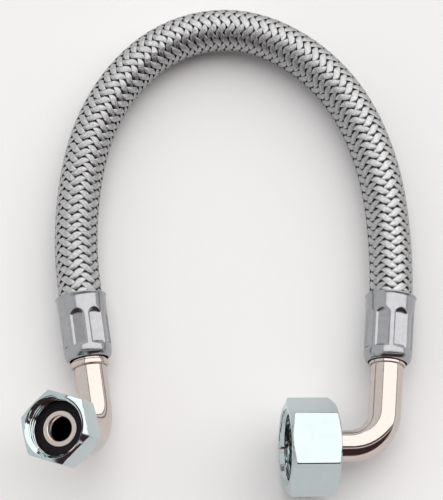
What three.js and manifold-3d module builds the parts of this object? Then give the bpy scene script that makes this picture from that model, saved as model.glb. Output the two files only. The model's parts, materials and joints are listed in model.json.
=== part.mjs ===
// Braided supply line with a right-angled union at each end. A rubber liner in a wire braid is held
// at each end by a crimped ferrule over a barbed tail. A bent tube runs from the tail to a seat
// collar, and a loose union nut turns and slides on that tube.
// Millimetres, +Z up. The line lies on the plane z = 0 with its arch towards +Y.

import * as THREE from 'three';
import { mergeVertices } from 'three/addons/utils/BufferGeometryUtils.js';
import Module from 'manifold-3d';

const wasm = await Module();
wasm.setup();

// Free space left between neighbouring pieces, and the facets of a plain turned piece.
const GAP = 0.25;
const TURNED_SEGMENTS = 32;

const HOSE = {
  braidOuter: 6.15,
  braidInner: 5.6,
  linerOuter: 5.15,
  linerBore: 4,
  sides: 10,
  steps: 38,
};

const TUBE = { outer: 4.5, bore: 2.8, bendRadius: 10.5, sides: 16, steps: 18 };

const FERRULE = {
  bore: 6.4,
  mouthRadius: 7.15,
  bodyRadius: 6.9,
  lipThickness: 0.8,
  edge: 0.4,
  mouthEdge: 0.2,
  pockets: 8,
  pocketDepth: 0.3,
  // Cosines of the turn round one pocket, at the edge of the pocket and at the edge of its floor.
  pocketEdge: -0.6,
  pocketFloor: 0,
  pocketTurn: THREE.MathUtils.degToRad(10.5),
  pocketFromBottom: 3,
  pocketFromMouth: 5.2,
  pocketRamp: 0.5,
  segments: 48,
};

const TAIL = {
  bore: 2.4,
  barbRadius: 3.55,
  rootRadius: 3.05,
  barbLand: 0.5,
  barbs: 3,
  barbPitch: 3.6,
  socketDepth: 1.2,
  shoulder: 3.1,
};

const NUT = {
  flatToCorner: 30,
  faceShare: 0.985,
  chamferSlope: Math.tan(THREE.MathUtils.degToRad(30)),
  threadChamfer: 0.9,
  holeClearance: 0.5,
};

const SEAT = { bore: 2.75, spigotRadius: 4.8, proud: 0.1, tubeShare: 0.62 };

// corner is where the two straight legs of the bent tube would meet. Distances along hoseDir and
// nutDir are counted from there.
const ENDS = [
  {
    name: 'small_end',
    corner: [-34.6, -13.6, 7.15],
    hoseDir: [-0.148, 0.989, 0],
    nutDir: [-0.323, -0.048, 0.945],
    ferruleBottom: 23.6,
    ferruleLength: 18.4,
    collarRadius: 5.45,
    collarOut: 2.2,
    nut: { front: 32.2, length: 9.5, flats: 18, turn: 4, minor: 7.48, major: 8.33, web: 1.5 },
    stack: { thrustRing: 0.8, flange: 1.2, gasket: 1.2, radius: 7.2 },
  },
  {
    name: 'large_end',
    corner: [43.6, -15.3, 10.1],
    hoseDir: [0.077, 0.995, -0.063],
    nutDir: [-0.99, -0.033, 0.134],
    ferruleBottom: 23.9,
    ferruleLength: 19.4,
    collarRadius: 5.1,
    collarOut: 0.9,
    nut: { front: 27.3, length: 13.7, flats: 24, turn: -2, minor: 9.32, major: 10.48, web: 2.2 },
    stack: { thrustRing: 1, flange: 1.8, gasket: 1.6, radius: 9 },
  },
];

// Centre line of the hose, from inside the small ferrule to inside the large one.
const ROUTE = [
  [-38.65, 13.4, 7.15],
  [-39.8, 21.1, 7.15],
  [-40.95, 28.8, 7.15],
  [-42, 36.5, 6.75],
  [-42.5, 45.1, 6.35],
  [-42.3, 54.1, 6.3],
  [-41.4, 63.1, 6.3],
  [-39.7, 72, 6.3],
  [-36.9, 80.6, 6.3],
  [-32.8, 88.7, 6.3],
  [-27.4, 96.1, 6.3],
  [-20.9, 102.2, 6.3],
  [-13, 106.7, 6.3],
  [-4.4, 109, 6.3],
  [4.5, 109, 6.3],
  [13, 106.6, 6.3],
  [20.9, 102.3, 6.3],
  [27.9, 96.6, 6.3],
  [33.8, 89.8, 6.3],
  [38.5, 82, 6.3],
  [42, 73.6, 6.3],
  [44.5, 64.9, 6.3],
  [46.1, 56, 6.3],
  [46.9, 47.1, 6.35],
  [47.25, 38.1, 6.75],
  [47.05, 29.15, 7.3],
  [46.35, 20.5, 7.85],
  [45.7, 11.85, 8.4],
];

const FINISH = {
  rubber: new THREE.MeshStandardMaterial({ color: 0x1c1b1b, roughness: 0.7, metalness: 0 }),
  braid: new THREE.MeshStandardMaterial({ color: 0xb4b5b3, roughness: 0.35, metalness: 1 }),
  steel: new THREE.MeshStandardMaterial({ color: 0xa9afb6, roughness: 0.3, metalness: 1 }),
  nickel: new THREE.MeshStandardMaterial({ color: 0xc4b5ab, roughness: 0.2, metalness: 1 }),
  chrome: new THREE.MeshStandardMaterial({ color: 0xb9c8ca, roughness: 0.12, metalness: 1 }),
  brass: new THREE.MeshStandardMaterial({ color: 0xb58f5a, roughness: 0.35, metalness: 1 }),
};

// A tube's centre line: a straight leg down hoseLeg, a round bend, and a straight leg up nutLeg.
class ElbowCurve extends THREE.Curve {
  constructor(hoseLeg, hoseReach, nutLeg, nutReach, radius) {
    super();
    this.hoseLeg = hoseLeg;
    this.nutLeg = nutLeg;
    this.radius = radius;
    const bend = Math.PI - hoseLeg.angleTo(nutLeg);
    this.tangent = radius * Math.tan(bend / 2);
    this.hoseReach = hoseReach;
    this.hoseStraight = hoseReach - this.tangent;
    this.arc = radius * bend;
    this.total = this.hoseStraight + this.arc + nutReach - this.tangent;
    this.inward = nutLeg.clone().addScaledVector(hoseLeg, -hoseLeg.dot(nutLeg)).normalize();
  }

  getPoint(t, target = new THREE.Vector3()) {
    const along = t * this.total;
    const past = along - this.hoseStraight;
    if (past <= 0) return target.copy(this.hoseLeg).multiplyScalar(this.hoseReach - along);
    if (past >= this.arc) {
      return target.copy(this.nutLeg).multiplyScalar(this.tangent + past - this.arc);
    }
    const angle = past / this.radius;
    return target
      .copy(this.hoseLeg)
      .multiplyScalar(this.tangent - this.radius * Math.sin(angle))
      .addScaledVector(this.inward, this.radius * (1 - Math.cos(angle)));
  }
}

function polygon(radius, sides, path = new THREE.Shape()) {
  for (let i = 0; i < sides; i += 1) {
    const angle = (2 * Math.PI * i) / sides;
    const point = [radius * Math.cos(angle), radius * Math.sin(angle)];
    if (i === 0) path.moveTo(...point);
    else path.lineTo(...point);
  }
  path.closePath();
  return path;
}

function sweptTube(curve, outer, inner, sides, steps) {
  const section = polygon(outer, sides);
  section.holes.push(polygon(inner, sides, new THREE.Path()));
  return new THREE.ExtrudeGeometry(section, { extrudePath: curve, steps });
}

// A turned piece about the Y axis, from [radius, height] pairs that go up outside and down inside.
function turned(profile, segments = TURNED_SEGMENTS) {
  const points = [...profile, profile[0]].map(([radius, height]) => new THREE.Vector2(radius, height));
  return new THREE.LatheGeometry(points, segments);
}

function ring(inner, outer, low, high) {
  return turned([[inner, low], [outer, low], [outer, high], [inner, high]]);
}

function toSolid(geometry) {
  geometry.deleteAttribute('normal');
  geometry.deleteAttribute('uv');
  const merged = mergeVertices(geometry);
  return new wasm.Manifold(new wasm.Mesh({
    numProp: 3,
    vertProperties: merged.getAttribute('position').array,
    triVerts: Uint32Array.from(merged.index.array),
  }));
}

function toGeometry(solid) {
  const { vertProperties, triVerts } = solid.getMesh();
  const geometry = new THREE.BufferGeometry();
  geometry.setAttribute('position', new THREE.BufferAttribute(vertProperties, 3));
  geometry.setIndex(new THREE.BufferAttribute(triVerts, 1));
  geometry.computeVertexNormals();
  return geometry;
}

// Presses the crimp pockets into the outer wall of a ferrule turned about Y.
function crimp(geometry, low, high) {
  const position = geometry.getAttribute('position');
  const place = new THREE.Vector3();
  for (let i = 0; i < position.count; i += 1) {
    place.fromBufferAttribute(position, i);
    const radius = Math.hypot(place.x, place.z);
    if (radius > FERRULE.bore + GAP && place.y > low && place.y < high) {
      const around = Math.atan2(-place.z, place.x) - FERRULE.pocketTurn;
      const facing = Math.cos(FERRULE.pockets * around);
      const share = THREE.MathUtils.smoothstep(facing, FERRULE.pocketEdge, FERRULE.pocketFloor);
      const scale = 1 - (share * FERRULE.pocketDepth) / radius;
      position.setXYZ(i, place.x * scale, place.y, place.z * scale);
    }
  }
  geometry.computeVertexNormals();
  return geometry;
}

function ferruleGeometry(end) {
  const { bore, mouthRadius, mouthEdge, bodyRadius, lipThickness, edge, pocketRamp } = FERRULE;
  const length = end.ferruleLength;
  const low = FERRULE.pocketFromBottom;
  const high = length - FERRULE.pocketFromMouth;
  const lip = end.collarRadius + GAP;
  const wall = turned([
    [lip, 0],
    [bodyRadius - edge, 0],
    [bodyRadius, edge],
    [bodyRadius, low],
    [bodyRadius, low + pocketRamp],
    [bodyRadius, high - pocketRamp],
    [bodyRadius, high],
    [mouthRadius, length - edge],
    [mouthRadius - mouthEdge, length],
    [bore, length],
    [bore, lipThickness],
    [lip, lipThickness],
  ], FERRULE.segments);
  return crimp(wall, low, high);
}

function tailGeometry(end) {
  const bottom = end.ferruleBottom - end.collarOut;
  const socketTop = end.ferruleBottom + TAIL.socketDepth;
  const shoulder = end.ferruleBottom + TAIL.shoulder;
  const outside = [[end.collarRadius, bottom], [end.collarRadius, shoulder]];
  for (let i = 0; i < TAIL.barbs; i += 1) {
    const start = shoulder + TAIL.barbPitch * i;
    outside.push([TAIL.rootRadius, start], [TAIL.rootRadius, start + TAIL.barbLand]);
    outside.push([TAIL.barbRadius, start + TAIL.barbLand]);
  }
  const tip = shoulder + TAIL.barbPitch * TAIL.barbs;
  const socket = TUBE.outer + GAP;
  const inside = [[TAIL.rootRadius, tip], [TAIL.bore, tip], [TAIL.bore, socketTop]];
  return turned([...outside, ...inside, [socket, socketTop], [socket, bottom]]);
}

// Heights of the stacked pieces along the nut's axis, from the nut's back face to its front.
function stackHeights({ nut, stack }) {
  const back = nut.front - nut.length;
  const thrustLow = back + nut.web + GAP;
  const flangeLow = thrustLow + stack.thrustRing + GAP;
  const gasketLow = flangeLow + stack.flange + GAP;
  const gasketHigh = gasketLow + stack.gasket;
  const tubeEnd = flangeLow + stack.flange * SEAT.tubeShare - GAP;
  return { back, thrustLow, flangeLow, gasketLow, gasketHigh, tubeEnd };
}

function seatGeometry({ stack }, heights) {
  const flangeTop = heights.flangeLow + stack.flange;
  const socket = TUBE.outer + GAP;
  return turned([
    [socket, heights.flangeLow],
    [stack.radius, heights.flangeLow],
    [stack.radius, flangeTop],
    [SEAT.spigotRadius, flangeTop],
    [SEAT.spigotRadius, heights.gasketHigh + SEAT.proud],
    [SEAT.bore, heights.gasketHigh + SEAT.proud],
    [SEAT.bore, heights.tubeEnd + GAP],
    [socket, heights.tubeEnd + GAP],
  ]);
}

function nutGeometry({ nut }, heights) {
  const corner = nut.flats / Math.sqrt(3);
  const face = (nut.flats / 2) * NUT.faceShare;
  const outside = corner + GAP;
  const chamfer = (outside - face) * NUT.chamferSlope;
  const hole = TUBE.outer + NUT.holeClearance;
  const floor = heights.back + nut.web;
  const envelope = turned([
    [hole, heights.back],
    [face, heights.back],
    [outside, heights.back + chamfer],
    [outside, nut.front - chamfer],
    [face, nut.front],
    [nut.major, nut.front],
    [nut.minor, nut.front - NUT.threadChamfer],
    [nut.minor, floor],
    [hole, floor],
  ]);
  const prism = new THREE.ExtrudeGeometry(polygon(corner, 6), {
    depth: nut.length + 2 * GAP,
    bevelEnabled: false,
  });
  prism.rotateZ(THREE.MathUtils.degToRad(NUT.flatToCorner + nut.turn));
  prism.rotateX(-Math.PI / 2);
  prism.translate(0, heights.back - GAP, 0);
  return toGeometry(toSolid(prism).intersect(toSolid(envelope)));
}

function addPiece(group, name, geometry, material) {
  const mesh = new THREE.Mesh(geometry, material);
  mesh.name = name;
  group.add(mesh);
  return mesh;
}

// One end of the line in its own frame: +Z along the nut, and the hose leg in the YZ plane.
function buildEnd(end) {
  const hoseDir = new THREE.Vector3(...end.hoseDir).normalize();
  const nutDir = new THREE.Vector3(...end.nutDir).normalize();
  const lean = hoseDir.angleTo(nutDir) - Math.PI / 2;
  const across = new THREE.Vector3().crossVectors(hoseDir, nutDir).normalize();
  const upright = new THREE.Vector3().crossVectors(nutDir, across);
  const group = new THREE.Group();
  group.quaternion.setFromRotationMatrix(new THREE.Matrix4().makeBasis(across, upright, nutDir));
  group.position.set(...end.corner);

  const heights = stackHeights(end);
  const { gasket, radius, thrustRing } = end.stack;
  const hoseLeg = new THREE.Vector3(0, Math.cos(lean), -Math.sin(lean));
  const tubeTop = end.ferruleBottom + TAIL.socketDepth - GAP;
  const path = new ElbowCurve(
    hoseLeg,
    tubeTop,
    new THREE.Vector3(0, 0, 1),
    heights.tubeEnd,
    TUBE.bendRadius,
  );
  const tube = sweptTube(path, TUBE.outer, TUBE.bore, TUBE.sides, TUBE.steps);
  addPiece(group, `${end.name}_elbow_tube`, tube, FINISH.nickel);

  const hoseSide = new THREE.Group();
  hoseSide.rotation.x = -lean;
  group.add(hoseSide);
  addPiece(hoseSide, `${end.name}_hose_tail`, tailGeometry(end), FINISH.nickel);
  const ferrule = addPiece(hoseSide, `${end.name}_ferrule`, ferruleGeometry(end), FINISH.steel);
  ferrule.position.y = end.ferruleBottom;

  const nutSide = new THREE.Group();
  nutSide.rotation.x = Math.PI / 2;
  group.add(nutSide);
  const washer = ring(TUBE.outer + 2 * GAP, radius, heights.thrustLow, heights.thrustLow + thrustRing);
  const seal = ring(SEAT.spigotRadius + GAP, radius, heights.gasketLow, heights.gasketLow + gasket);
  addPiece(nutSide, `${end.name}_seat_collar`, seatGeometry(end, heights), FINISH.nickel);
  addPiece(nutSide, `${end.name}_gasket`, seal, FINISH.rubber);
  addPiece(nutSide, `${end.name}_thrust_ring`, washer, FINISH.brass);
  addPiece(nutSide, `${end.name}_union_nut`, nutGeometry(end, heights), FINISH.chrome);
  return group;
}

function buildHose() {
  const route = new THREE.CatmullRomCurve3(
    ROUTE.map((point) => new THREE.Vector3(...point)),
    false,
    'centripetal',
  );
  const { braidOuter, braidInner, linerOuter, linerBore, sides, steps } = HOSE;
  const group = new THREE.Group();
  const liner = sweptTube(route, linerOuter, linerBore, sides, steps);
  const braid = sweptTube(route, braidOuter, braidInner, sides, steps);
  addPiece(group, 'hose_liner', liner, FINISH.rubber);
  addPiece(group, 'wire_braid', braid, FINISH.braid);
  return group;
}

const supplyLine = new THREE.Group();
supplyLine.add(buildHose(), ...ENDS.map(buildEnd));

export default supplyLine;
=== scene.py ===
"""A braided supply line with a union nut elbow at each end, lying on a pale floor."""

import json
import math

import bpy
import numpy as np
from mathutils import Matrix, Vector


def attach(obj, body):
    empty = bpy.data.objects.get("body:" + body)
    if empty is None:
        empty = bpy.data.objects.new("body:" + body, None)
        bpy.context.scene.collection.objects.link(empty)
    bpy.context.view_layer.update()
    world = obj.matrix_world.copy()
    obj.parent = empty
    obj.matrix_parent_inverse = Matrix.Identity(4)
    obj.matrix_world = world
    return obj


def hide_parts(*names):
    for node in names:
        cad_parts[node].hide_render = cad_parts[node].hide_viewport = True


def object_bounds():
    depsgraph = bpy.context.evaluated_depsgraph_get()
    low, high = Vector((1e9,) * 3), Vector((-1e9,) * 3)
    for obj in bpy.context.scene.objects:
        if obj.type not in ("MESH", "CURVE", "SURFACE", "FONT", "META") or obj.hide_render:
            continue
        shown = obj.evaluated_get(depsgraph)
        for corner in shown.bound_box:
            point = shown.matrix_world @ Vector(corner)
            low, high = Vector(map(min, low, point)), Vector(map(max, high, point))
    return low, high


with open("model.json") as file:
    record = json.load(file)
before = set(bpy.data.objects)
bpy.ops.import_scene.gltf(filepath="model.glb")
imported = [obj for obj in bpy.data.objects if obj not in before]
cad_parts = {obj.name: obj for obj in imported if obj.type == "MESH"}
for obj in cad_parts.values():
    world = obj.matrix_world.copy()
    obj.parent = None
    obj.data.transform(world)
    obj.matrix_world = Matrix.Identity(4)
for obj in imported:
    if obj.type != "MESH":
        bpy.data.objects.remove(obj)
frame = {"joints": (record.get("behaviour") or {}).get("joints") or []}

MM = 0.001
CAD_LOW, CAD_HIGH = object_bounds()

# ---------------------------------------------------------------- driving dimensions, in metres

# The hose's centre line, from inside the small ferrule to inside the large one.
ROUTE = [
    (-0.03865, 0.0134, 0.00715),
    (-0.0398, 0.0211, 0.00715),
    (-0.04095, 0.0288, 0.00715),
    (-0.042, 0.0365, 0.00675),
    (-0.0425, 0.0451, 0.00635),
    (-0.0423, 0.0541, 0.0063),
    (-0.0414, 0.0631, 0.0063),
    (-0.0397, 0.072, 0.0063),
    (-0.0369, 0.0806, 0.0063),
    (-0.0328, 0.0887, 0.0063),
    (-0.0274, 0.0961, 0.0063),
    (-0.0209, 0.1022, 0.0063),
    (-0.013, 0.1067, 0.0063),
    (-0.0044, 0.109, 0.0063),
    (0.0045, 0.109, 0.0063),
    (0.013, 0.1066, 0.0063),
    (0.0209, 0.1023, 0.0063),
    (0.0279, 0.0966, 0.0063),
    (0.0338, 0.0898, 0.0063),
    (0.0385, 0.082, 0.0063),
    (0.042, 0.0736, 0.0063),
    (0.0445, 0.0649, 0.0063),
    (0.0461, 0.056, 0.0063),
    (0.0469, 0.0471, 0.00635),
    (0.04725, 0.0381, 0.00675),
    (0.04705, 0.02915, 0.0073),
    (0.04635, 0.0205, 0.00785),
    (0.0457, 0.01185, 0.0084),
]
HOSE_RADIUS = 6.15 * MM
LINER_RADIUS = 5.15 * MM
LINER_BORE = 4 * MM
LINE_SAMPLES = 480
SMOOTHING_PASSES = 12
LINER_SIDES = 36

# The weave: strands each way round, how far along the hose one strand takes to go round once, where
# round the hose it starts, how far round and along it has slipped, and how sharply strands dive.
STRANDS = 12
WEAVE_PITCH = 33.6 * MM
WEAVE_TURN = math.radians(-10)
WEAVE_TWIST = math.radians(25)
WEAVE_SHIFT = 0.95 * MM
WEAVE_STEEPNESS = 6
STEPS_PER_CROSSING = 6

# One strand: a ribbon of wires with a flat top that falls a little to its edges.
STRAND_WIDTH = 2.04 * MM
STRAND_WIRES = 7
STRAND_FLAT_SHARE = 0.9
STRAND_SIDE_SHARE = -0.2
STRAND_THICK = 0.14 * MM
STRAND_LIFT = 0.12 * MM
STRAND_EDGE = 0.03 * MM

# Where the ferrules squeeze the hose: how much, how far in from each mouth, and how gradually.
CRIMPED_SHARE = 0.93
CRIMP_INSET = 5 * MM
CRIMP_END = 0.75
CRIMP_FADE = 0.35

TUBE_RADIUS = 4.5 * MM
TUBE_BORE = 2.8 * MM
TUBE_SIDES = 72
BEND_RADIUS = 10.5 * MM
SOCKET_RADIUS = TUBE_RADIUS + 0.04 * MM

# The gap between stacked pieces along a nut's axis.
GAP = 0.25 * MM

# Edges that meet at more than these angles stay crisp.
SHARP_ANGLE = math.radians(28)
STRAND_SHARP_ANGLE = math.radians(75)
FERRULE_SHARP_ANGLE = math.radians(50)
NUT_SHARP_ANGLE = math.radians(24)

CAMERA_TILT = math.radians(16)
CAMERA_DISTANCE = 0.569
CAMERA_LENS = 144
CAMERA_CLIP = 0.05
CAMERA_AIM = Vector((-0.9 * MM, -1 * MM, 8 * MM))

# The two ends. reach is from the corner, where the two legs' axes meet, to the nut's front face, and
# ferrule_bottom is from the corner to the ferrule's foot. The rest are sizes of the pieces.
ENDS = [
    {
        "name": "small_end",
        "nut_body": "small_nut",
        "ring_body": "small_ring",
        "spin": "small_nut_spin",
        "route": ROUTE[:3],
        "reach": 32.2 * MM,
        "ferrule_bottom": 23.6 * MM,
        "ferrule_length": 18.4 * MM,
        "pocket_turn": math.radians(6.5),
        "collar_radius": 5.45 * MM,
        "collar_out": 2.2 * MM,
        "collar_bead": 1.5 * MM,
        "nut_length": 9.5 * MM,
        "flats": 18 * MM,
        "face_share": 0.945,
        "turn": math.radians(4),
        "minor": 7.48 * MM,
        "major": 8.33 * MM,
        "pitch": 1.337 * MM,
        "web": 1.5 * MM,
        "thrust_ring": 0.8 * MM,
        "flange": 1.2 * MM,
        "gasket": 1.2 * MM,
        "seat_radius": 7.2 * MM,
    },
    {
        "name": "large_end",
        "nut_body": "large_nut",
        "ring_body": "large_ring",
        "spin": "large_nut_spin",
        "route": ROUTE[:-4:-1],
        "reach": 27.3 * MM,
        "ferrule_bottom": 23.9 * MM,
        "ferrule_length": 19.4 * MM,
        "pocket_turn": math.radians(17.5),
        "collar_radius": 5.1 * MM,
        "collar_out": 0.9 * MM,
        "collar_bead": 0.9 * MM,
        "nut_length": 13.7 * MM,
        "flats": 24 * MM,
        "face_share": 0.965,
        "turn": math.radians(-2),
        "minor": 9.32 * MM,
        "major": 10.48 * MM,
        "pitch": 1.814 * MM,
        "web": 2.2 * MM,
        "thrust_ring": 1 * MM,
        "flange": 1.8 * MM,
        "gasket": 1.6 * MM,
        "seat_radius": 9 * MM,
    },
]


# ---------------------------------------------------------------- lines and frames

def unit(vector):
    vector = np.asarray(vector, float)
    return vector / np.linalg.norm(vector)


def through(points, per_span=24):
    """A centripetal Catmull-Rom line through the points."""
    points = np.array(points, float)
    ends = 2 * points[0] - points[1], 2 * points[-1] - points[-2]
    padded = np.vstack([ends[0], points, ends[1]])
    line = []
    for a, b, c, d in zip(padded, padded[1:], padded[2:], padded[3:]):
        knots = np.cumsum([0] + [math.sqrt(np.linalg.norm(q - p)) for p, q in ((a, b), (b, c), (c, d))])
        for t in np.linspace(knots[1], knots[2], per_span, endpoint=False):
            line.append(barry_goldman((a, b, c, d), knots, t))
    line.append(points[-1])
    return np.array(line)


def barry_goldman(points, knots, t):
    """The point at t on the curve through the middle two of four points."""
    level = list(points)
    for size in (1, 2, 3):
        level = [
            (level[i] * (knots[i + size] - t) + level[i + 1] * (t - knots[i]))
            / (knots[i + size] - knots[i])
            for i in range(4 - size)
        ]
    return level[0]


def lengths(line):
    """How far along the line each of its points is."""
    return np.concatenate([[0], np.cumsum(np.linalg.norm(np.diff(line, axis=0), axis=1))])


def resample(line, count):
    """The line as count evenly spaced points."""
    along = lengths(line)
    wanted = np.linspace(0, along[-1], count)
    return np.column_stack([np.interp(wanted, along, line[:, i]) for i in range(3)])


def smoothed(line, passes):
    """Evens out the curvature between the chosen points, with both ends held."""
    line = line.copy()
    for _ in range(passes):
        line[2:-2] = (line[:-4] + 4 * line[1:-3] + 6 * line[2:-2] + 4 * line[3:-1] + line[4:]) / 16
    return line


def frames_along(line):
    """Tangent, sideways and upward unit vectors at each point of a line that lies nearly flat."""
    tangent = np.gradient(line, axis=0)
    tangent /= np.linalg.norm(tangent, axis=1)[:, None]
    side = np.cross(tangent, [0, 0, 1])
    side /= np.linalg.norm(side, axis=1)[:, None]
    return tangent, side, np.cross(side, tangent)


def blend_step(x):
    """Rises smoothly from 0 to 1 as x does."""
    x = np.clip(x, 0, 1)
    return x * x * (3 - 2 * x)


# ---------------------------------------------------------------- meshes

def mesh_piece(name, points, faces, material):
    mesh = bpy.data.meshes.new(name)
    mesh.from_pydata([tuple(p) for p in points], [], [tuple(int(i) for i in f) for f in faces])
    mesh.update()
    piece = bpy.data.objects.new(name, mesh)
    bpy.context.collection.objects.link(piece)
    mesh.materials.append(material)
    mesh.shade_smooth()
    return piece


def grid_faces(rows, columns, close_rows=False, start=0):
    """Quads over a rows x columns grid whose columns wrap round. Rows wrap too if asked."""
    faces = []
    for i in range(rows if close_rows else rows - 1):
        low, high = start + i * columns, start + (i + 1) % rows * columns
        for j in range(columns):
            k = (j + 1) % columns
            faces.append((low + j, low + k, high + k, high + j))
    return faces


def sharpen(piece, angle=SHARP_ANGLE):
    """Keeps the edges between faces that meet at more than the angle crisp."""
    piece.data.set_sharp_from_angle(angle=angle)
    return piece


def swept_tube(name, line, frames, outer, inner, sides, material):
    """A tube along a line with flat ends. outer and inner are radii, one each or one per point."""
    _, side, up = frames
    angles = np.linspace(0, 2 * math.pi, sides, endpoint=False)
    rings = []
    for radius in (outer, inner):
        radius = np.broadcast_to(radius, len(line))
        out = side[:, None] * np.cos(angles)[None, :, None] + up[:, None] * np.sin(angles)[None, :, None]
        rings.append(line[:, None] + out * radius[:, None, None])
    points = np.concatenate([rings[0], rings[1][::-1]]).reshape(-1, 3)
    faces = grid_faces(2 * len(line), sides, close_rows=True)
    return sharpen(mesh_piece(name, points, faces, material))


class EndFrame:
    """One end's own axes: z runs out along the nut, and the hose leg lies in the yz plane."""

    def __init__(self, end):
        spin = next(j for j in frame["joints"] if j["name"] == end["spin"])
        mouth, inside = np.array(end["route"][2]), np.array(end["route"][0])
        self.nut = unit(spin["axis"])
        self.hose = unit(mouth - inside)
        self.corner = np.array(spin["pos_m"]) - self.nut * end["reach"]
        self.x = unit(np.cross(self.hose, self.nut))
        self.y = np.cross(self.nut, self.x)
        self.hose_z = np.cross(self.x, self.hose)

    def on_nut_axis(self, radius, angle, height):
        """Points round the nut's axis. angle is from x towards y."""
        radius, angle, height = np.broadcast_arrays(radius, angle, height)
        out = np.cos(angle)[..., None] * self.x + np.sin(angle)[..., None] * self.y
        return self.corner + out * radius[..., None] + self.nut * height[..., None]

    def on_hose_axis(self, radius, angle, height):
        """Points round the hose leg's axis. angle is from x away from the nut."""
        radius, angle, height = np.broadcast_arrays(radius, angle, height)
        out = np.cos(angle)[..., None] * self.x - np.sin(angle)[..., None] * self.hose_z
        return self.corner + out * radius[..., None] + self.hose * height[..., None]


def turned(name, place, profile, material, sides=96):
    """A turned ring. profile is a closed list of (radius, height), and place puts it on an axis."""
    profile = np.array(profile)
    angles = np.linspace(0, 2 * math.pi, sides, endpoint=False)
    points = place(profile[:, 0][:, None], angles[None, :], profile[:, 1][:, None]).reshape(-1, 3)
    faces = grid_faces(len(profile), sides, close_rows=True)
    piece = mesh_piece(name, points, faces, material)
    face_out(piece)
    return sharpen(piece)


def face_out(piece):
    """Turns the faces of a closed mesh outwards."""
    mesh = piece.data
    corners = np.array([v.co for v in mesh.vertices])
    mesh.calc_loop_triangles()
    triangles = np.array([t.vertices for t in mesh.loop_triangles])
    a, b, c = (corners[triangles[:, i]] - corners.mean(axis=0) for i in range(3))
    if np.einsum("ij,ij->i", a, np.cross(b, c)).sum() < 0:
        mesh.flip_normals()


CORNER_SHARE = 0.45


def rounded(profile, radius, steps=4):
    """The closed profile with each corner replaced by a small round of about the radius."""
    profile = [np.array(p, float) for p in profile]
    out = []
    for i, corner in enumerate(profile):
        before, after = profile[i - 1] - corner, profile[(i + 1) % len(profile)] - corner
        cut = min(radius, np.linalg.norm(before) * CORNER_SHARE, np.linalg.norm(after) * CORNER_SHARE)
        start, end = corner + unit(before) * cut, corner + unit(after) * cut
        for t in np.linspace(0, 1, steps):
            out.append((1 - t) ** 2 * start + 2 * t * (1 - t) * corner + t * t * end)
    return out


# ---------------------------------------------------------------- materials

class Relief:
    """One layer of bump: where it is high, how strong it is, and how far it stands out in metres."""

    def __init__(self, height, strength, distance):
        self.height = height
        self.strength = strength
        self.distance = distance


class Shader:
    """A Principled material built from a few nodes in object space, in metres."""

    def __init__(self, name, color, metallic, roughness):
        self.material = bpy.data.materials.new(name)
        self.material.use_nodes = True
        self.tree = self.material.node_tree
        self.surface = self.tree.nodes["Principled BSDF"]
        self.surface.inputs["Base Color"].default_value = (*color, 1)
        self.surface.inputs["Metallic"].default_value = metallic
        self.surface.inputs["Roughness"].default_value = roughness
        self.place = self.tree.nodes.new("ShaderNodeTexCoord").outputs["Object"]

    def node(self, kind, **settings):
        made = self.tree.nodes.new("ShaderNode" + kind)
        for key, value in settings.items():
            if key in made.inputs:
                made.inputs[key].default_value = value
            else:
                setattr(made, key, value)
        return made

    def link(self, output, target):
        self.tree.links.new(output, target)

    def noise(self, cells, detail, stretch=None):
        """Noise with the given number of cells per metre, stretched along the axes if asked."""
        made = self.node("TexNoise", Scale=cells, Detail=detail)
        self.link(self.stretched(stretch) if stretch else self.place, made.inputs["Vector"])
        return made.outputs["Fac"]

    def stretched(self, stretch):
        mapping = self.node("Mapping")
        mapping.inputs["Scale"].default_value = stretch
        self.link(self.place, mapping.inputs["Vector"])
        return mapping.outputs["Vector"]

    def ranged(self, value, low, high, start, stop):
        """Maps start..stop on to low..high, clamped."""
        made = self.node("MapRange")
        for key, number in zip(("From Min", "From Max", "To Min", "To Max"), (start, stop, low, high)):
            made.inputs[key].default_value = number
        self.link(value, made.inputs["Value"])
        return made.outputs["Result"]

    def calc(self, operation, *values):
        made = self.node("Math", operation=operation)
        for target, value in zip(made.inputs, values):
            if isinstance(value, float):
                target.default_value = value
            else:
                self.link(value, target)
        return made.outputs[0]

    def gloss(self, cells, detail, start, stop, shiny, dull):
        """Roughness that wanders from shiny to dull with noise between start and stop."""
        value = self.ranged(self.noise(cells, detail), shiny, dull, start, stop)
        self.link(value, self.surface.inputs["Roughness"])

    def mottle(self, cells, detail, start, stop, dark, light):
        """Colour that wanders from dark to light with noise between start and stop."""
        self.tint(self.ranged(self.noise(cells, detail), 0, 1, start, stop), dark, light)

    def specks(self, cells, start, stop):
        """Small scattered dots: 1 in a dot and 0 elsewhere."""
        return self.ranged(self.noise(cells, 1), 0, 1, start, stop)

    def tint(self, value, dark, light):
        """Colours the surface from dark to light as the value goes from 0 to 1."""
        ramp = self.node("ValToRGB")
        ramp.color_ramp.elements[0].color = (*dark, 1)
        ramp.color_ramp.elements[1].color = (*light, 1)
        self.link(value, ramp.inputs["Fac"])
        self.link(ramp.outputs["Color"], self.surface.inputs["Base Color"])

    def bump(self, *reliefs):
        """Raises the reliefs on the surface, one on top of the other."""
        normal = None
        for relief in reliefs:
            made = self.node("Bump", Strength=relief.strength, Distance=relief.distance)
            self.link(relief.height, made.inputs["Height"])
            if normal:
                self.link(normal, made.inputs["Normal"])
            normal = made.outputs["Normal"]
        self.link(normal, self.surface.inputs["Normal"])


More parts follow.
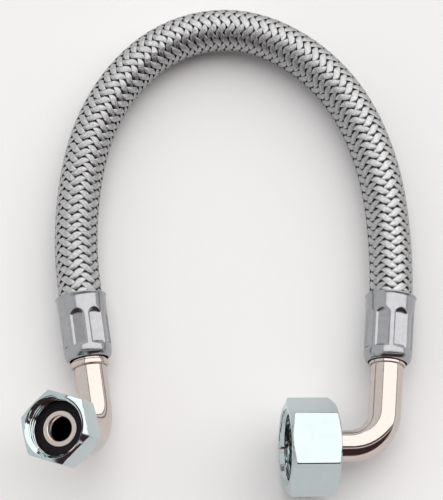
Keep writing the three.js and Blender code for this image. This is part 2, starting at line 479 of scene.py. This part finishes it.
def chrome_material():
    s = Shader("nut_chrome", (0.51, 0.58, 0.59), metallic=1, roughness=0.08)
    s.mottle(cells=500, detail=4, start=0.3, stop=0.7, dark=(0.5, 0.57, 0.58), light=(0.52, 0.59, 0.6))
    s.gloss(cells=1800, detail=5, start=0.35, stop=0.75, shiny=0.05, dull=0.1)
    waves = Relief(s.noise(cells=220, detail=2), strength=0.03, distance=0.1 * MM)
    pits = Relief(s.specks(cells=2600, start=0.76, stop=0.82), strength=-0.5, distance=0.02 * MM)
    s.bump(waves, pits)
    return s.material


def nickel_material():
    s = Shader("tube_nickel", (0.61, 0.54, 0.5), metallic=1, roughness=0.1)
    s.mottle(cells=700, detail=4, start=0.35, stop=0.65, dark=(0.6, 0.53, 0.49), light=(0.62, 0.55, 0.51))
    s.gloss(cells=4200, detail=5, start=0.4, stop=0.75, shiny=0.06, dull=0.14)
    dust = Relief(s.specks(cells=3400, start=0.7, stop=0.78), strength=0.3, distance=0.02 * MM)
    waves = Relief(s.noise(cells=900, detail=3), strength=0.06, distance=0.06 * MM)
    s.bump(dust, waves)
    return s.material


def ferrule_material():
    s = Shader("ferrule_steel", (0.38, 0.39, 0.41), metallic=1, roughness=0.2)
    s.mottle(cells=600, detail=4, start=0.35, stop=0.65, dark=(0.37, 0.375, 0.39), light=(0.4, 0.405, 0.42))
    s.gloss(cells=3000, detail=5, start=0.35, stop=0.7, shiny=0.15, dull=0.26)
    drawn = Relief(s.noise(cells=900, detail=4, stretch=(6, 0.35, 6)), strength=0.06, distance=0.03 * MM)
    waves = Relief(s.noise(cells=420, detail=3), strength=0.1, distance=0.1 * MM)
    s.bump(drawn, waves)
    return s.material


# Painted shade on a strand: it darkens towards its edges, as shares of its half width, and as it dives
# under the others.
STRAND_EDGE_STARTS = 0.87
STRAND_EDGE_ENDS = 0.92
STRAND_EDGE_LIGHT = 0.01
STRAND_DIVE_ENDS = -0.97
STRAND_DIVE_STARTS = -0.3
STRAND_DIVE_LIGHT = 0.05
STRAND_PAINTED_SHADE_COLOUR = (0.01, 0.01, 0.01)
WIRE_COLOUR = (0.55, 0.555, 0.56)


def braid_material():
    """Wire ribbons with painted shade at their edges and where they dive under the others."""
    s = Shader("stainless_wire", (0.45, 0.45, 0.45), metallic=1, roughness=0.3)
    across = s.node("Attribute", attribute_name="across").outputs["Fac"]
    lift = s.node("Attribute", attribute_name="lift").outputs["Fac"]
    off_middle = s.calc("ABSOLUTE", across)
    # Painted shade: the colour goes near black at the strand's edges, where parallel strands meet, and
    # where it dives under the crossing strands.
    edge = s.ranged(off_middle, 1, STRAND_EDGE_LIGHT, STRAND_EDGE_STARTS, STRAND_EDGE_ENDS)
    under = s.ranged(lift, STRAND_DIVE_LIGHT, 1, STRAND_DIVE_ENDS, STRAND_DIVE_STARTS)
    grain = s.ranged(s.noise(cells=1500, detail=4), 0.8, 1, start=0.3, stop=0.7)
    light = s.calc("MULTIPLY", s.calc("MULTIPLY", edge, under), grain)
    # The tint runs from the painted shade colour to the wire's own colour.
    s.tint(light, STRAND_PAINTED_SHADE_COLOUR, WIRE_COLOUR)
    s.gloss(cells=5200, detail=4, start=0.35, stop=0.7, shiny=0.16, dull=0.28)
    crests = s.calc("ABSOLUTE", s.calc("SINE", s.calc("MULTIPLY", across, STRAND_WIRES * math.pi / 2)))
    wires = Relief(crests, strength=0.8, distance=0.05 * MM)
    grit = Relief(s.noise(cells=7000, detail=3), strength=0.1, distance=0.02 * MM)
    s.bump(wires, grit)
    return s.material


RUBBER_SPECULAR = 0.15
RUBBER_BLOOM = 1.5


def rubber_material(name, color):
    """Dull rubber with a paler bloom in patches."""
    s = Shader(name, color, metallic=0, roughness=0.5)
    s.surface.inputs["Specular IOR Level"].default_value = RUBBER_SPECULAR
    light = tuple(c * RUBBER_BLOOM for c in color)
    s.mottle(cells=1200, detail=5, start=0.35, stop=0.7, dark=color, light=light)
    s.gloss(cells=2600, detail=4, start=0.35, stop=0.7, shiny=0.45, dull=0.7)
    s.bump(Relief(s.noise(cells=5000, detail=4), strength=0.2, distance=0.03 * MM))
    return s.material


def brass_material():
    s = Shader("ring_brass", (0.6, 0.42, 0.2), metallic=1, roughness=0.3)
    s.mottle(cells=900, detail=4, start=0.35, stop=0.65, dark=(0.5, 0.34, 0.15), light=(0.64, 0.46, 0.23))
    s.gloss(cells=3000, detail=4, start=0.35, stop=0.7, shiny=0.22, dull=0.42)
    s.bump(Relief(s.noise(cells=3800, detail=3), strength=0.15, distance=0.02 * MM))
    return s.material


# ---------------------------------------------------------------- camera

def make_camera():
    """Looks down at the line from the nuts' side, tilted a little from straight above."""
    middle = (CAD_LOW + CAD_HIGH) / 2
    target = Vector((middle.x, middle.y, 0)) + CAMERA_AIM
    back = Vector((0, -math.sin(CAMERA_TILT), math.cos(CAMERA_TILT)))
    data = bpy.data.cameras.new("camera")
    data.lens = CAMERA_LENS
    data.clip_start = CAMERA_CLIP
    camera = bpy.data.objects.new("camera", data)
    camera.location = target + back * CAMERA_DISTANCE
    camera.rotation_euler = (CAMERA_TILT, 0, 0)
    bpy.context.collection.objects.link(camera)
    bpy.context.scene.camera = camera


# ---------------------------------------------------------------- hose

def weave_height(phase):
    """1 where a strand lies over the others and -1 where it dives under, two of each in turn."""
    wave = np.cos((phase - 0.5) * math.pi / 2)
    return np.tanh(WEAVE_STEEPNESS * wave) / math.tanh(WEAVE_STEEPNESS)


def strand_section():
    """Round a strand: sideways shares of its half width, and heights from its middle."""
    half = STRAND_THICK / 2
    flat, side = STRAND_FLAT_SHARE, STRAND_SIDE_SHARE * half
    top = [(-1, side), (-flat, half - STRAND_EDGE), (0, half), (flat, half - STRAND_EDGE)]
    return np.array(top + [(1, side), (flat, -half), (-flat, -half)])


def make_strands(name, hand, line, frames, base, material):
    """The twelve strands that wind one way round the hose, as closed ribbons in one mesh."""
    _, side, up = frames
    along = lengths(line)
    turn = 2 * math.pi * (along - WEAVE_SHIFT) / WEAVE_PITCH
    twist = WEAVE_TURN + WEAVE_TWIST * along / along[-1]
    slope = math.atan2(2 * math.pi * HOSE_RADIUS, WEAVE_PITCH)
    section = strand_section()
    width = len(section)
    half = STRAND_WIDTH / 2 / math.cos(slope) / HOSE_RADIUS
    points, faces, lifts = [], [], []
    for i in range(STRANDS):
        centre = hand * turn + 2 * math.pi * i / STRANDS + twist
        lift = hand * weave_height(2 * i + hand * turn * STRANDS / math.pi)
        angle = centre[:, None] + section[None, :, 0] * half
        radius = (base + lift * STRAND_LIFT)[:, None] + section[None, :, 1]
        out = side[:, None] * np.cos(angle)[..., None] + up[:, None] * np.sin(angle)[..., None]
        ring = line[:, None] + out * radius[..., None]
        start = len(points)
        points.extend(ring.reshape(-1, 3))
        lifts.append(np.repeat(lift, width))
        faces.extend(grid_faces(len(line), width, start=start))
        faces.append(tuple(range(start + width - 1, start - 1, -1)))
        last = start + (len(line) - 1) * width
        faces.append(tuple(range(last, last + width)))
    piece = mesh_piece(name, points, faces, material)
    face_out(piece)
    add_values(piece, "across", np.tile(section[:, 0], len(line) * STRANDS))
    add_values(piece, "lift", np.concatenate(lifts))
    return sharpen(piece, STRAND_SHARP_ANGLE)


def add_values(piece, name, values):
    """Stores one number per point for the material to read."""
    layer = piece.data.attributes.new(name, "FLOAT", "POINT")
    layer.data.foreach_set("value", np.asarray(values, np.float32))


def make_hose():
    """The woven sleeve in two hands of strands, and the rubber liner that shows between them."""
    smooth = smoothed(resample(through(ROUTE), LINE_SAMPLES), SMOOTHING_PASSES)
    crossings = lengths(smooth)[-1] * 2 * STRANDS / WEAVE_PITCH
    line = resample(smooth, round(crossings * STEPS_PER_CROSSING))
    frames = frames_along(line)
    along = lengths(line)
    squeezed = crimp_squeeze(along)
    base = (HOSE_RADIUS - STRAND_THICK / 2 - STRAND_LIFT) * squeezed
    wire = braid_material()
    right = make_strands("braid_right_hand_strands", 1, line, frames, base, wire)
    left = make_strands("braid_left_hand_strands", -1, line, frames, base, wire)
    rubber = rubber_material("liner_rubber", (0.012, 0.011, 0.011))
    liner = swept_tube(
        "liner_tube", line, frames, LINER_RADIUS * squeezed, LINER_BORE * squeezed, LINER_SIDES, rubber
    )
    for piece in (right, left):
        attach(piece, "hose_assembly")
    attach(liner, "hose_assembly")
    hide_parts("wire_braid")
    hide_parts("hose_liner")


def crimp_squeeze(along):
    """How far the ferrules squeeze the hose, as a share of its radius, along its length."""
    inside = [end["ferrule_length"] - CRIMP_INSET for end in ENDS]
    from_ends = along / inside[0], (along[-1] - along) / inside[1]
    free = blend_step((np.minimum(*from_ends) - CRIMP_END) / CRIMP_FADE)
    return CRIMPED_SHARE + (1 - CRIMPED_SHARE) * free


# ---------------------------------------------------------------- ferrules

POCKETS = 8
POCKET_HALF = math.radians(18.5)
POCKET_SIDE = math.radians(4.2)
POCKET_FLAT = 6.15 * MM
POCKET_LOW = 2.9 * MM
POCKET_FOOT = 1.3 * MM
POCKET_TOP = 4.4 * MM
SCOOP_LENGTH = 2 * MM
SCOOP_ARCH = 0.85
FERRULE_WALL = 0.5 * MM
FERRULE_BODY = 6.78 * MM
MOUTH_FLARE = 0.26 * MM
MOUTH_FLARE_LENGTH = 7 * MM
MOUTH_BEAD = 0.24 * MM
MOUTH_BEAD_LENGTH = 1.2 * MM
FOOT_IN = 1.3 * MM
FOOT_UP = 2.6 * MM
FOOT_EDGE = 0.5 * MM
RIM_ROUND = 0.25 * MM

# How finely a ferrule is divided, round it and along each stretch of its wall.
FERRULE_SIDES = POCKETS * 44
FOOT_STEPS = 14
BODY_STEPS = 120
RIM_STEPS = 12
INSIDE_STEPS = 30


def ferrule_radius(height, angle, end):
    """Outside radius of a crimped ferrule: a flared mouth and eight pressed flats with scooped tops."""
    from_mouth = end["ferrule_length"] - height
    plain = FERRULE_BODY + MOUTH_FLARE * blend_step(1 - from_mouth / MOUTH_FLARE_LENGTH)
    plain = plain + MOUTH_BEAD * blend_step(1 - from_mouth / MOUTH_BEAD_LENGTH)
    pitch = 2 * math.pi / POCKETS
    off = (angle - end["pocket_turn"] + pitch / 2) % pitch - pitch / 2
    across = np.clip(np.abs(off) / POCKET_HALF, 0, 1)
    scoop = SCOOP_LENGTH * (1 - SCOOP_ARCH * across**2)
    floor_top = POCKET_TOP + SCOOP_LENGTH
    inside = blend_step((POCKET_HALF - np.abs(off)) / POCKET_SIDE)
    inside = inside * blend_step((from_mouth - floor_top + scoop) / scoop)
    inside = inside * blend_step((height - POCKET_LOW) / POCKET_FOOT)
    flat = np.minimum(POCKET_FLAT / np.cos(off), plain)
    return plain + (flat - plain) * inside


def make_ferrule(end, place, material):
    """A closed wall: up the outside from the curled foot, over the rim, and down the inside."""
    length, bottom = end["ferrule_length"], end["ferrule_bottom"]
    angles = np.linspace(0, 2 * math.pi, FERRULE_SIDES, endpoint=False)[None, :]
    foot = ferrule_radius(np.zeros_like(angles), angles, end)
    rim_height = length - RIM_ROUND
    rim = ferrule_radius(rim_height, angles, end)
    rings = []
    for t in np.linspace(0, math.pi / 2, FOOT_STEPS, endpoint=False):
        rings.append((foot - FOOT_IN * (1 - math.sin(t)), FOOT_UP * (1 - math.cos(t))))
    for height in np.linspace(FOOT_UP, rim_height, BODY_STEPS):
        rings.append((ferrule_radius(height, angles, end), height))
    for t in np.linspace(0, math.pi, RIM_STEPS)[1:]:
        rings.append((rim - RIM_ROUND * (1 - math.cos(t)), rim_height + RIM_ROUND * math.sin(t)))
    for height in np.linspace(rim_height, FOOT_UP, INSIDE_STEPS):
        rings.append((ferrule_radius(height, angles, end) - FERRULE_WALL, height))
    rings.append((foot - FOOT_IN, FOOT_EDGE))
    points = np.concatenate([place(r, angles, bottom + h).reshape(-1, 3) for r, h in rings])
    faces = grid_faces(len(rings), FERRULE_SIDES, close_rows=True)
    piece = mesh_piece(end["name"] + "_crimped_ferrule", points, faces, material)
    face_out(piece)
    return sharpen(piece, FERRULE_SHARP_ANGLE)


# ---------------------------------------------------------------- tail, tube and seat

TAIL_NECK = 4.95 * MM
TAIL_BORE = 2.4 * MM
TAIL_SOCKET_DEPTH = 1.2 * MM
TAIL_SHOULDER = 3.1 * MM
TAIL_ROUND = 0.6 * MM
TAIL_ROUND_STEPS = 6
BARBS = 3
BARB_PITCH = 3.6 * MM
BARB_STEP = 0.5 * MM
BARB_ROOT = 3.05 * MM
BARB_CREST = 3.5 * MM


def make_tail(end, place, material):
    """A turned insert: an outer bead, a neck inside the ferrule's foot, and barbs up inside the liner."""
    bottom = end["ferrule_bottom"] - end["collar_out"]
    bead_top = bottom + end["collar_bead"]
    shoulder = end["ferrule_bottom"] + TAIL_SHOULDER
    socket_top = end["ferrule_bottom"] + TAIL_SOCKET_DEPTH
    collar = end["collar_radius"]
    profile = [(SOCKET_RADIUS, bottom), (collar, bottom), (collar, bead_top)]
    profile += [(TAIL_NECK, bead_top), (TAIL_NECK, shoulder)]
    for i in range(BARBS):
        start = shoulder + BARB_PITCH * i
        profile += [(BARB_ROOT, start), (BARB_ROOT, start + BARB_STEP), (BARB_CREST, start + BARB_STEP)]
    tip = shoulder + BARBS * BARB_PITCH
    profile += [(BARB_ROOT, tip), (TAIL_BORE, tip), (TAIL_BORE, socket_top), (SOCKET_RADIUS, socket_top)]
    profile = rounded(profile, TAIL_ROUND, TAIL_ROUND_STEPS)
    return turned(end["name"] + "_barbed_tail", place, profile, material)


TUBE_IN_TAIL = 0.95 * MM
STRAIGHT_STEPS = 20
BEND_STEPS = 40


def elbow_line(end, axes, nut_reach):
    """Centre line of the bent tube, from inside the tail to inside the seat collar."""
    hose, nut = axes.hose, axes.nut
    bend = math.pi - math.acos(float(hose @ nut))
    tangent = BEND_RADIUS * math.tan(bend / 2)
    inward = unit(nut - hose * (hose @ nut))
    top = end["ferrule_bottom"] + TUBE_IN_TAIL
    line = [hose * reach for reach in np.linspace(top, tangent, STRAIGHT_STEPS, endpoint=False)]
    for angle in np.linspace(0, bend, BEND_STEPS, endpoint=False):
        down = tangent - BEND_RADIUS * math.sin(angle)
        line.append(hose * down + inward * BEND_RADIUS * (1 - math.cos(angle)))
    line += [nut * reach for reach in np.linspace(tangent, nut_reach, STRAIGHT_STEPS)]
    return axes.corner + np.array(line)


def make_elbow(end, axes, heights, material):
    line = elbow_line(end, axes, heights["tube_end"])
    tangent = np.gradient(line, axis=0)
    tangent /= np.linalg.norm(tangent, axis=1)[:, None]
    side = np.tile(axes.x, (len(line), 1))
    frames = tangent, side, np.cross(side, tangent)
    piece = swept_tube(
        end["name"] + "_bent_tube", line, frames, TUBE_RADIUS, TUBE_BORE, TUBE_SIDES, material
    )
    face_out(piece)
    return piece


# How far up the flange's thickness the tube ends.
TUBE_IN_FLANGE = 0.62


def stack_heights(end):
    """Heights of the stacked pieces along the nut's axis, as in the CAD."""
    back = end["reach"] - end["nut_length"]
    thrust = back + end["web"] + GAP
    flange = thrust + end["thrust_ring"] + GAP
    gasket = flange + end["flange"] + GAP
    top = gasket + end["gasket"]
    return {
        "back": back,
        "thrust": thrust,
        "flange": flange,
        "gasket": gasket,
        "top": top,
        "tube_end": flange + end["flange"] * TUBE_IN_FLANGE - GAP,
    }


SPIGOT_RADIUS = 4.8 * MM
SPIGOT_STANDS_OUT = 0.1 * MM
SPIGOT_LAND = 0.75 * MM
SPIGOT_SINK = 1.1 * MM
SEAT_BORE = 2.75 * MM
SEAT_STEP = 0.1 * MM
SEAT_ROUND = 0.18 * MM


def make_seat(end, place, heights, material):
    """A flange on the tube's end with a spigot through the gasket and a countersunk bore."""
    flange, top = heights["flange"], heights["top"] + SPIGOT_STANDS_OUT
    flange_top, step = flange + end["flange"], heights["tube_end"] + SEAT_STEP
    profile = [
        (SOCKET_RADIUS, flange),
        (end["seat_radius"], flange),
        (end["seat_radius"], flange_top),
        (SPIGOT_RADIUS, flange_top),
        (SPIGOT_RADIUS, top),
        (SEAT_BORE + SPIGOT_LAND, top),
        (SEAT_BORE, top - SPIGOT_SINK),
        (SEAT_BORE, step),
        (SOCKET_RADIUS, step),
    ]
    return turned(end["name"] + "_seat", place, rounded(profile, SEAT_ROUND), material)


GASKET_PLAY = 0.06 * MM
GASKET_WIDER = 0.2 * MM
GASKET_SINK = 0.2 * MM
GASKET_ROUND = 0.3 * MM


def make_gasket(end, place, heights, material):
    inner, outer = SPIGOT_RADIUS + GASKET_PLAY, end["seat_radius"] + GASKET_WIDER
    low, high = heights["gasket"] - GASKET_SINK, heights["top"]
    profile = [(inner, low), (outer, low), (outer, high), (inner, high)]
    return turned(end["name"] + "_seal_ring", place, rounded(profile, GASKET_ROUND), material)


THRUST_RING_ROUND = 0.15 * MM


def make_thrust_ring(end, place, heights, material):
    inner, outer = TUBE_RADIUS + 2 * GAP, end["seat_radius"]
    low = heights["thrust"]
    high = low + end["thrust_ring"]
    profile = [(inner, low), (outer, low), (outer, high), (inner, high)]
    return turned(end["name"] + "_slip_ring", place, rounded(profile, THRUST_RING_ROUND), material)


# ---------------------------------------------------------------- nuts

NUT_EDGE = 0.22 * MM
NUT_CORNER_CUT = 0.09 * MM
NUT_FLAT_CROWN = 0.02 * MM
NUT_HOLE_PLAY = 0.5 * MM
CHAMFER = math.tan(math.radians(30))

# Degrees from a flat's middle: evenly across the flat, then close together round its corner.
FLAT_STEPS = np.linspace(-28.5, 28.5, 15)
CORNER_STEPS = [29.3, 30.0, 30.7]


def hexagon(flats, turn):
    """Angles and radii round a hexagon with slightly rounded corners."""
    angles, radii = [], []
    corner = flats / math.sqrt(3) - NUT_CORNER_CUT
    for i in range(6):
        middle = turn + i * math.pi / 3
        for off in np.concatenate([FLAT_STEPS, CORNER_STEPS]):
            from_flat = min(abs(off), 60 - abs(off))
            radius = flats / 2 / math.cos(math.radians(from_flat))
            angles.append(middle + math.radians(off))
            radii.append(min(radius, corner))
    return np.array(angles), np.array(radii)


# The two softened edges of a chamfer. The first four are shares of NUT_EDGE, and the last two are
# shares of the chamfer's own width and depth.
EDGE_ON_FACE = 0.3
EDGE_DROP = 0.06
EDGE_ON_SLOPE = 0.6
EDGE_ON_FLAT = 0.25
SLOPE_END_WIDTH = 0.45
SLOPE_END_DEPTH = 0.8


def chamfer_rings(hexa, face):
    """Radii and depths from a nut's round end face out to its flats, over two softened edges."""
    soft, width = NUT_EDGE, hexa - face
    chamfer, on_slope = width * CHAMFER, soft * EDGE_ON_SLOPE
    return [
        (face - soft, 0),
        (face - soft * EDGE_ON_FACE, soft * EDGE_DROP),
        (face + np.minimum(on_slope, chamfer), np.minimum(soft, chamfer) / 2),
        (hexa - np.minimum(on_slope, width * SLOPE_END_WIDTH), chamfer * SLOPE_END_DEPTH),
        (hexa - NUT_FLAT_CROWN, chamfer + soft * EDGE_ON_FLAT),
        (hexa, chamfer + soft),
    ]


# The thread: its lip at the mouth, its run-out above the floor, and how finely it is divided.
THREAD_LIP = 0.12 * MM
THREAD_ENTRY = 0.1 * MM
THREAD_START = 0.05 * MM
THREAD_RUNOUT = 0.8 * MM
THREAD_UNDERCUT = 0.6 * MM
STEPS_PER_THREAD = 10


def thread_radius(height, angle, end):
    """Inside radius of the thread: a rounded V groove that climbs one pitch each turn."""
    phase = (height / end["pitch"] - angle / (2 * math.pi)) % 1
    groove = blend_step(1.5 * (1 - np.abs(2 * phase - 1)) - 0.5)
    return end["minor"] + (end["major"] - end["minor"]) * groove


def make_nut(end, place, heights, material):
    """A closed wall: out over the back, up the flats, over the front, and down the thread."""
    angles, hexa = hexagon(end["flats"], end["turn"])
    back, front, floor = heights["back"], end["reach"], heights["back"] + end["web"]
    face, hole = end["flats"] / 2 * end["face_share"], TUBE_RADIUS + NUT_HOLE_PLAY
    edge = chamfer_rings(hexa, face)
    rings = [(hole + NUT_EDGE, back)]
    rings += [(radius, back + depth) for radius, depth in edge]
    rings += [(radius, front - depth) for radius, depth in reversed(edge[1:])]
    rings.append((end["major"] + THREAD_LIP, front))
    depth = front - floor
    steps = int(depth / end["pitch"] * STEPS_PER_THREAD)
    for down in np.linspace(THREAD_START, depth - THREAD_RUNOUT, steps):
        entry = end["major"] + THREAD_ENTRY - down
        rings.append((np.maximum(thread_radius(front - down, angles, end), entry), front - down))
    rings += [
        (end["major"], floor + THREAD_UNDERCUT),
        (end["major"], floor),
        (hole, floor),
        (hole, back + NUT_EDGE),
    ]
    points = np.concatenate([place(r, angles, h).reshape(-1, 3) for r, h in rings])
    faces = grid_faces(len(rings), len(angles), close_rows=True)
    piece = mesh_piece(end["name"] + "_hex_nut", points, faces, material)
    face_out(piece)
    return sharpen(piece, NUT_SHARP_ANGLE)


# ---------------------------------------------------------------- putting an end together

def make_end(end, finishes):
    """One end's seven pieces, each riding on its body in place of its CAD node."""
    axes = EndFrame(end)
    heights = stack_heights(end)
    on_nut, on_hose = axes.on_nut_axis, axes.on_hose_axis
    root, ring, nut = "hose_assembly", end["ring_body"], end["nut_body"]
    chrome, brass, seal = finishes["chrome"], finishes["brass"], finishes["seal"]
    nickel, steel = finishes["nickel"], finishes["steel"]
    rows = [
        (make_ferrule(end, on_hose, steel), root, "ferrule", "ferrule_steel"),
        (make_tail(end, on_hose, nickel), root, "hose_tail", "nickel_brass"),
        (make_elbow(end, axes, heights, nickel), root, "elbow_tube", "nickel_brass"),
        (make_seat(end, on_nut, heights, nickel), root, "seat_collar", "nickel_brass"),
        (make_gasket(end, on_nut, heights, seal), root, "gasket", "seal_rubber"),
        (make_thrust_ring(end, on_nut, heights, brass), ring, "thrust_ring", "ring_brass"),
        (make_nut(end, on_nut, heights, chrome), nut, "union_nut", "nut_chrome"),
    ]
    for piece, body, node, slot in rows:
        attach(piece, body)
        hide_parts(f"{end['name']}_{node}")


# ---------------------------------------------------------------- floor and light

FLOOR_HALF = 3
FLOOR_SINK = 0.05 * MM
FLOOR_GREY = 0.96
FLOOR_SPECULAR = 0.1


def make_floor():
    """A pale sheet of paper, a hair below the line so that the two never share a plane."""
    shader = Shader("floor_paper", (FLOOR_GREY, FLOOR_GREY, FLOOR_GREY), metallic=0, roughness=0.8)
    shader.surface.inputs["Specular IOR Level"].default_value = FLOOR_SPECULAR
    half = FLOOR_HALF
    points = [(-half, -half, 0), (half, -half, 0), (half, half, 0), (-half, half, 0)]
    floor = mesh_piece("floor", points, [(0, 1, 2, 3)], shader.material)
    floor.location.z = -FLOOR_SINK


WALL_LIGHT = 0.86
PANEL_LIGHT = 1.75
DARK_TINT = (0.035, 0.018, 0.02)
PANEL_TINT = (1, 0.985, 0.975)

# Where each region of the tent starts, and how wide its soft edge is. right, behind and ahead are
# slopes away from straight up, x is the way to the right, and z is the way up.
BRIGHT_PANEL = {"right": (-0.48, 0.02), "behind": (-0.14, 0.03), "z": (0.24, 0.02)}
DARK_BORDER = {"right": (-0.56, 0.02), "behind": (-0.36, 0.03), "z": (0.17, 0.02)}
DARK_DOORWAY = {"ahead": (0.45, 0.1), "z": (0.1, 0.05), "x": (-0.65, 0.15)}
LOWEST_SLOPE = 0.02


class Tent:
    """Nodes that work out how much of each region of the tent a direction falls in."""

    def __init__(self, tree):
        self.tree = tree
        split = tree.nodes.new("ShaderNodeSeparateXYZ")
        heading = tree.nodes.new("ShaderNodeTexCoord").outputs["Generated"]
        tree.links.new(heading, split.inputs[0])
        x, y, z = split.outputs
        up = self.calc("MAXIMUM", z, LOWEST_SLOPE)
        behind = self.calc("DIVIDE", y, up)
        self.ways = {"x": x, "z": z, "right": self.calc("DIVIDE", x, up), "behind": behind}
        self.ways["ahead"] = self.calc("MULTIPLY", behind, -1)

    def calc(self, operation, *values):
        made = self.tree.nodes.new("ShaderNodeMath")
        made.operation = operation
        for target, value in zip(made.inputs, values):
            if isinstance(value, (int, float)):
                target.default_value = value
            else:
                self.tree.links.new(value, target)
        return made.outputs[0]

    def edge(self, value, start, width):
        """0 below start, 1 above start + width."""
        made = self.tree.nodes.new("ShaderNodeMapRange")
        made.interpolation_type = "SMOOTHSTEP"
        made.inputs["From Min"].default_value = start
        made.inputs["From Max"].default_value = start + width
        self.tree.links.new(value, made.inputs["Value"])
        return made.outputs["Result"]

    def region(self, limits):
        """1 inside all of the limits and 0 outside."""
        total = None
        for way, (start, width) in limits.items():
            share = self.edge(self.ways[way], start, width)
            total = self.calc("MULTIPLY", total, share) if total else share
        return total

    def outside(self, region):
        return self.calc("SUBTRACT", 1, region)


def make_light():
    """A tent of soft light: a bright panel with a dark border, a dark doorway, and dimmer walls."""
    world = bpy.data.worlds.new("studio")
    bpy.context.scene.world = world
    world.use_nodes = True
    tree = world.node_tree
    background = tree.nodes["Background"]
    tent = Tent(tree)
    panel = tent.region(BRIGHT_PANEL)
    border, doorway = tent.region(DARK_BORDER), tent.region(DARK_DOORWAY)
    wall = tent.calc("MULTIPLY", tent.outside(border), tent.outside(doorway))
    wall_light = tent.calc("MULTIPLY", wall, WALL_LIGHT)
    panel_light = tent.calc("MULTIPLY", panel, PANEL_LIGHT)
    ramp = tree.nodes.new("ShaderNodeValToRGB")
    ramp.color_ramp.elements[0].color = (*DARK_TINT, 1)
    ramp.color_ramp.elements[1].color = (*PANEL_TINT, 1)
    wall_share = WALL_LIGHT / PANEL_LIGHT
    ramp.color_ramp.elements.new(wall_share).color = (wall_share, wall_share, wall_share, 1)
    total = tent.calc("ADD", wall_light, panel_light)
    tree.links.new(tent.calc("DIVIDE", total, PANEL_LIGHT), ramp.inputs["Fac"])
    tree.links.new(ramp.outputs["Color"], background.inputs["Color"])
    background.inputs["Strength"].default_value = PANEL_LIGHT


def set_colour():
    """Shows colours as they are, with no film curve."""
    settings = bpy.context.scene.view_settings
    settings.view_transform = "Standard"
    settings.look = "None"


def main():
    make_camera()
    make_hose()
    finishes = {
        "steel": ferrule_material(),
        "nickel": nickel_material(),
        "chrome": chrome_material(),
        "seal": rubber_material("seal_rubber", (0.009, 0.006, 0.008)),
        "brass": brass_material(),
    }
    for end in ENDS:
        make_end(end, finishes)
    make_floor()
    make_light()
    set_colour()


main()
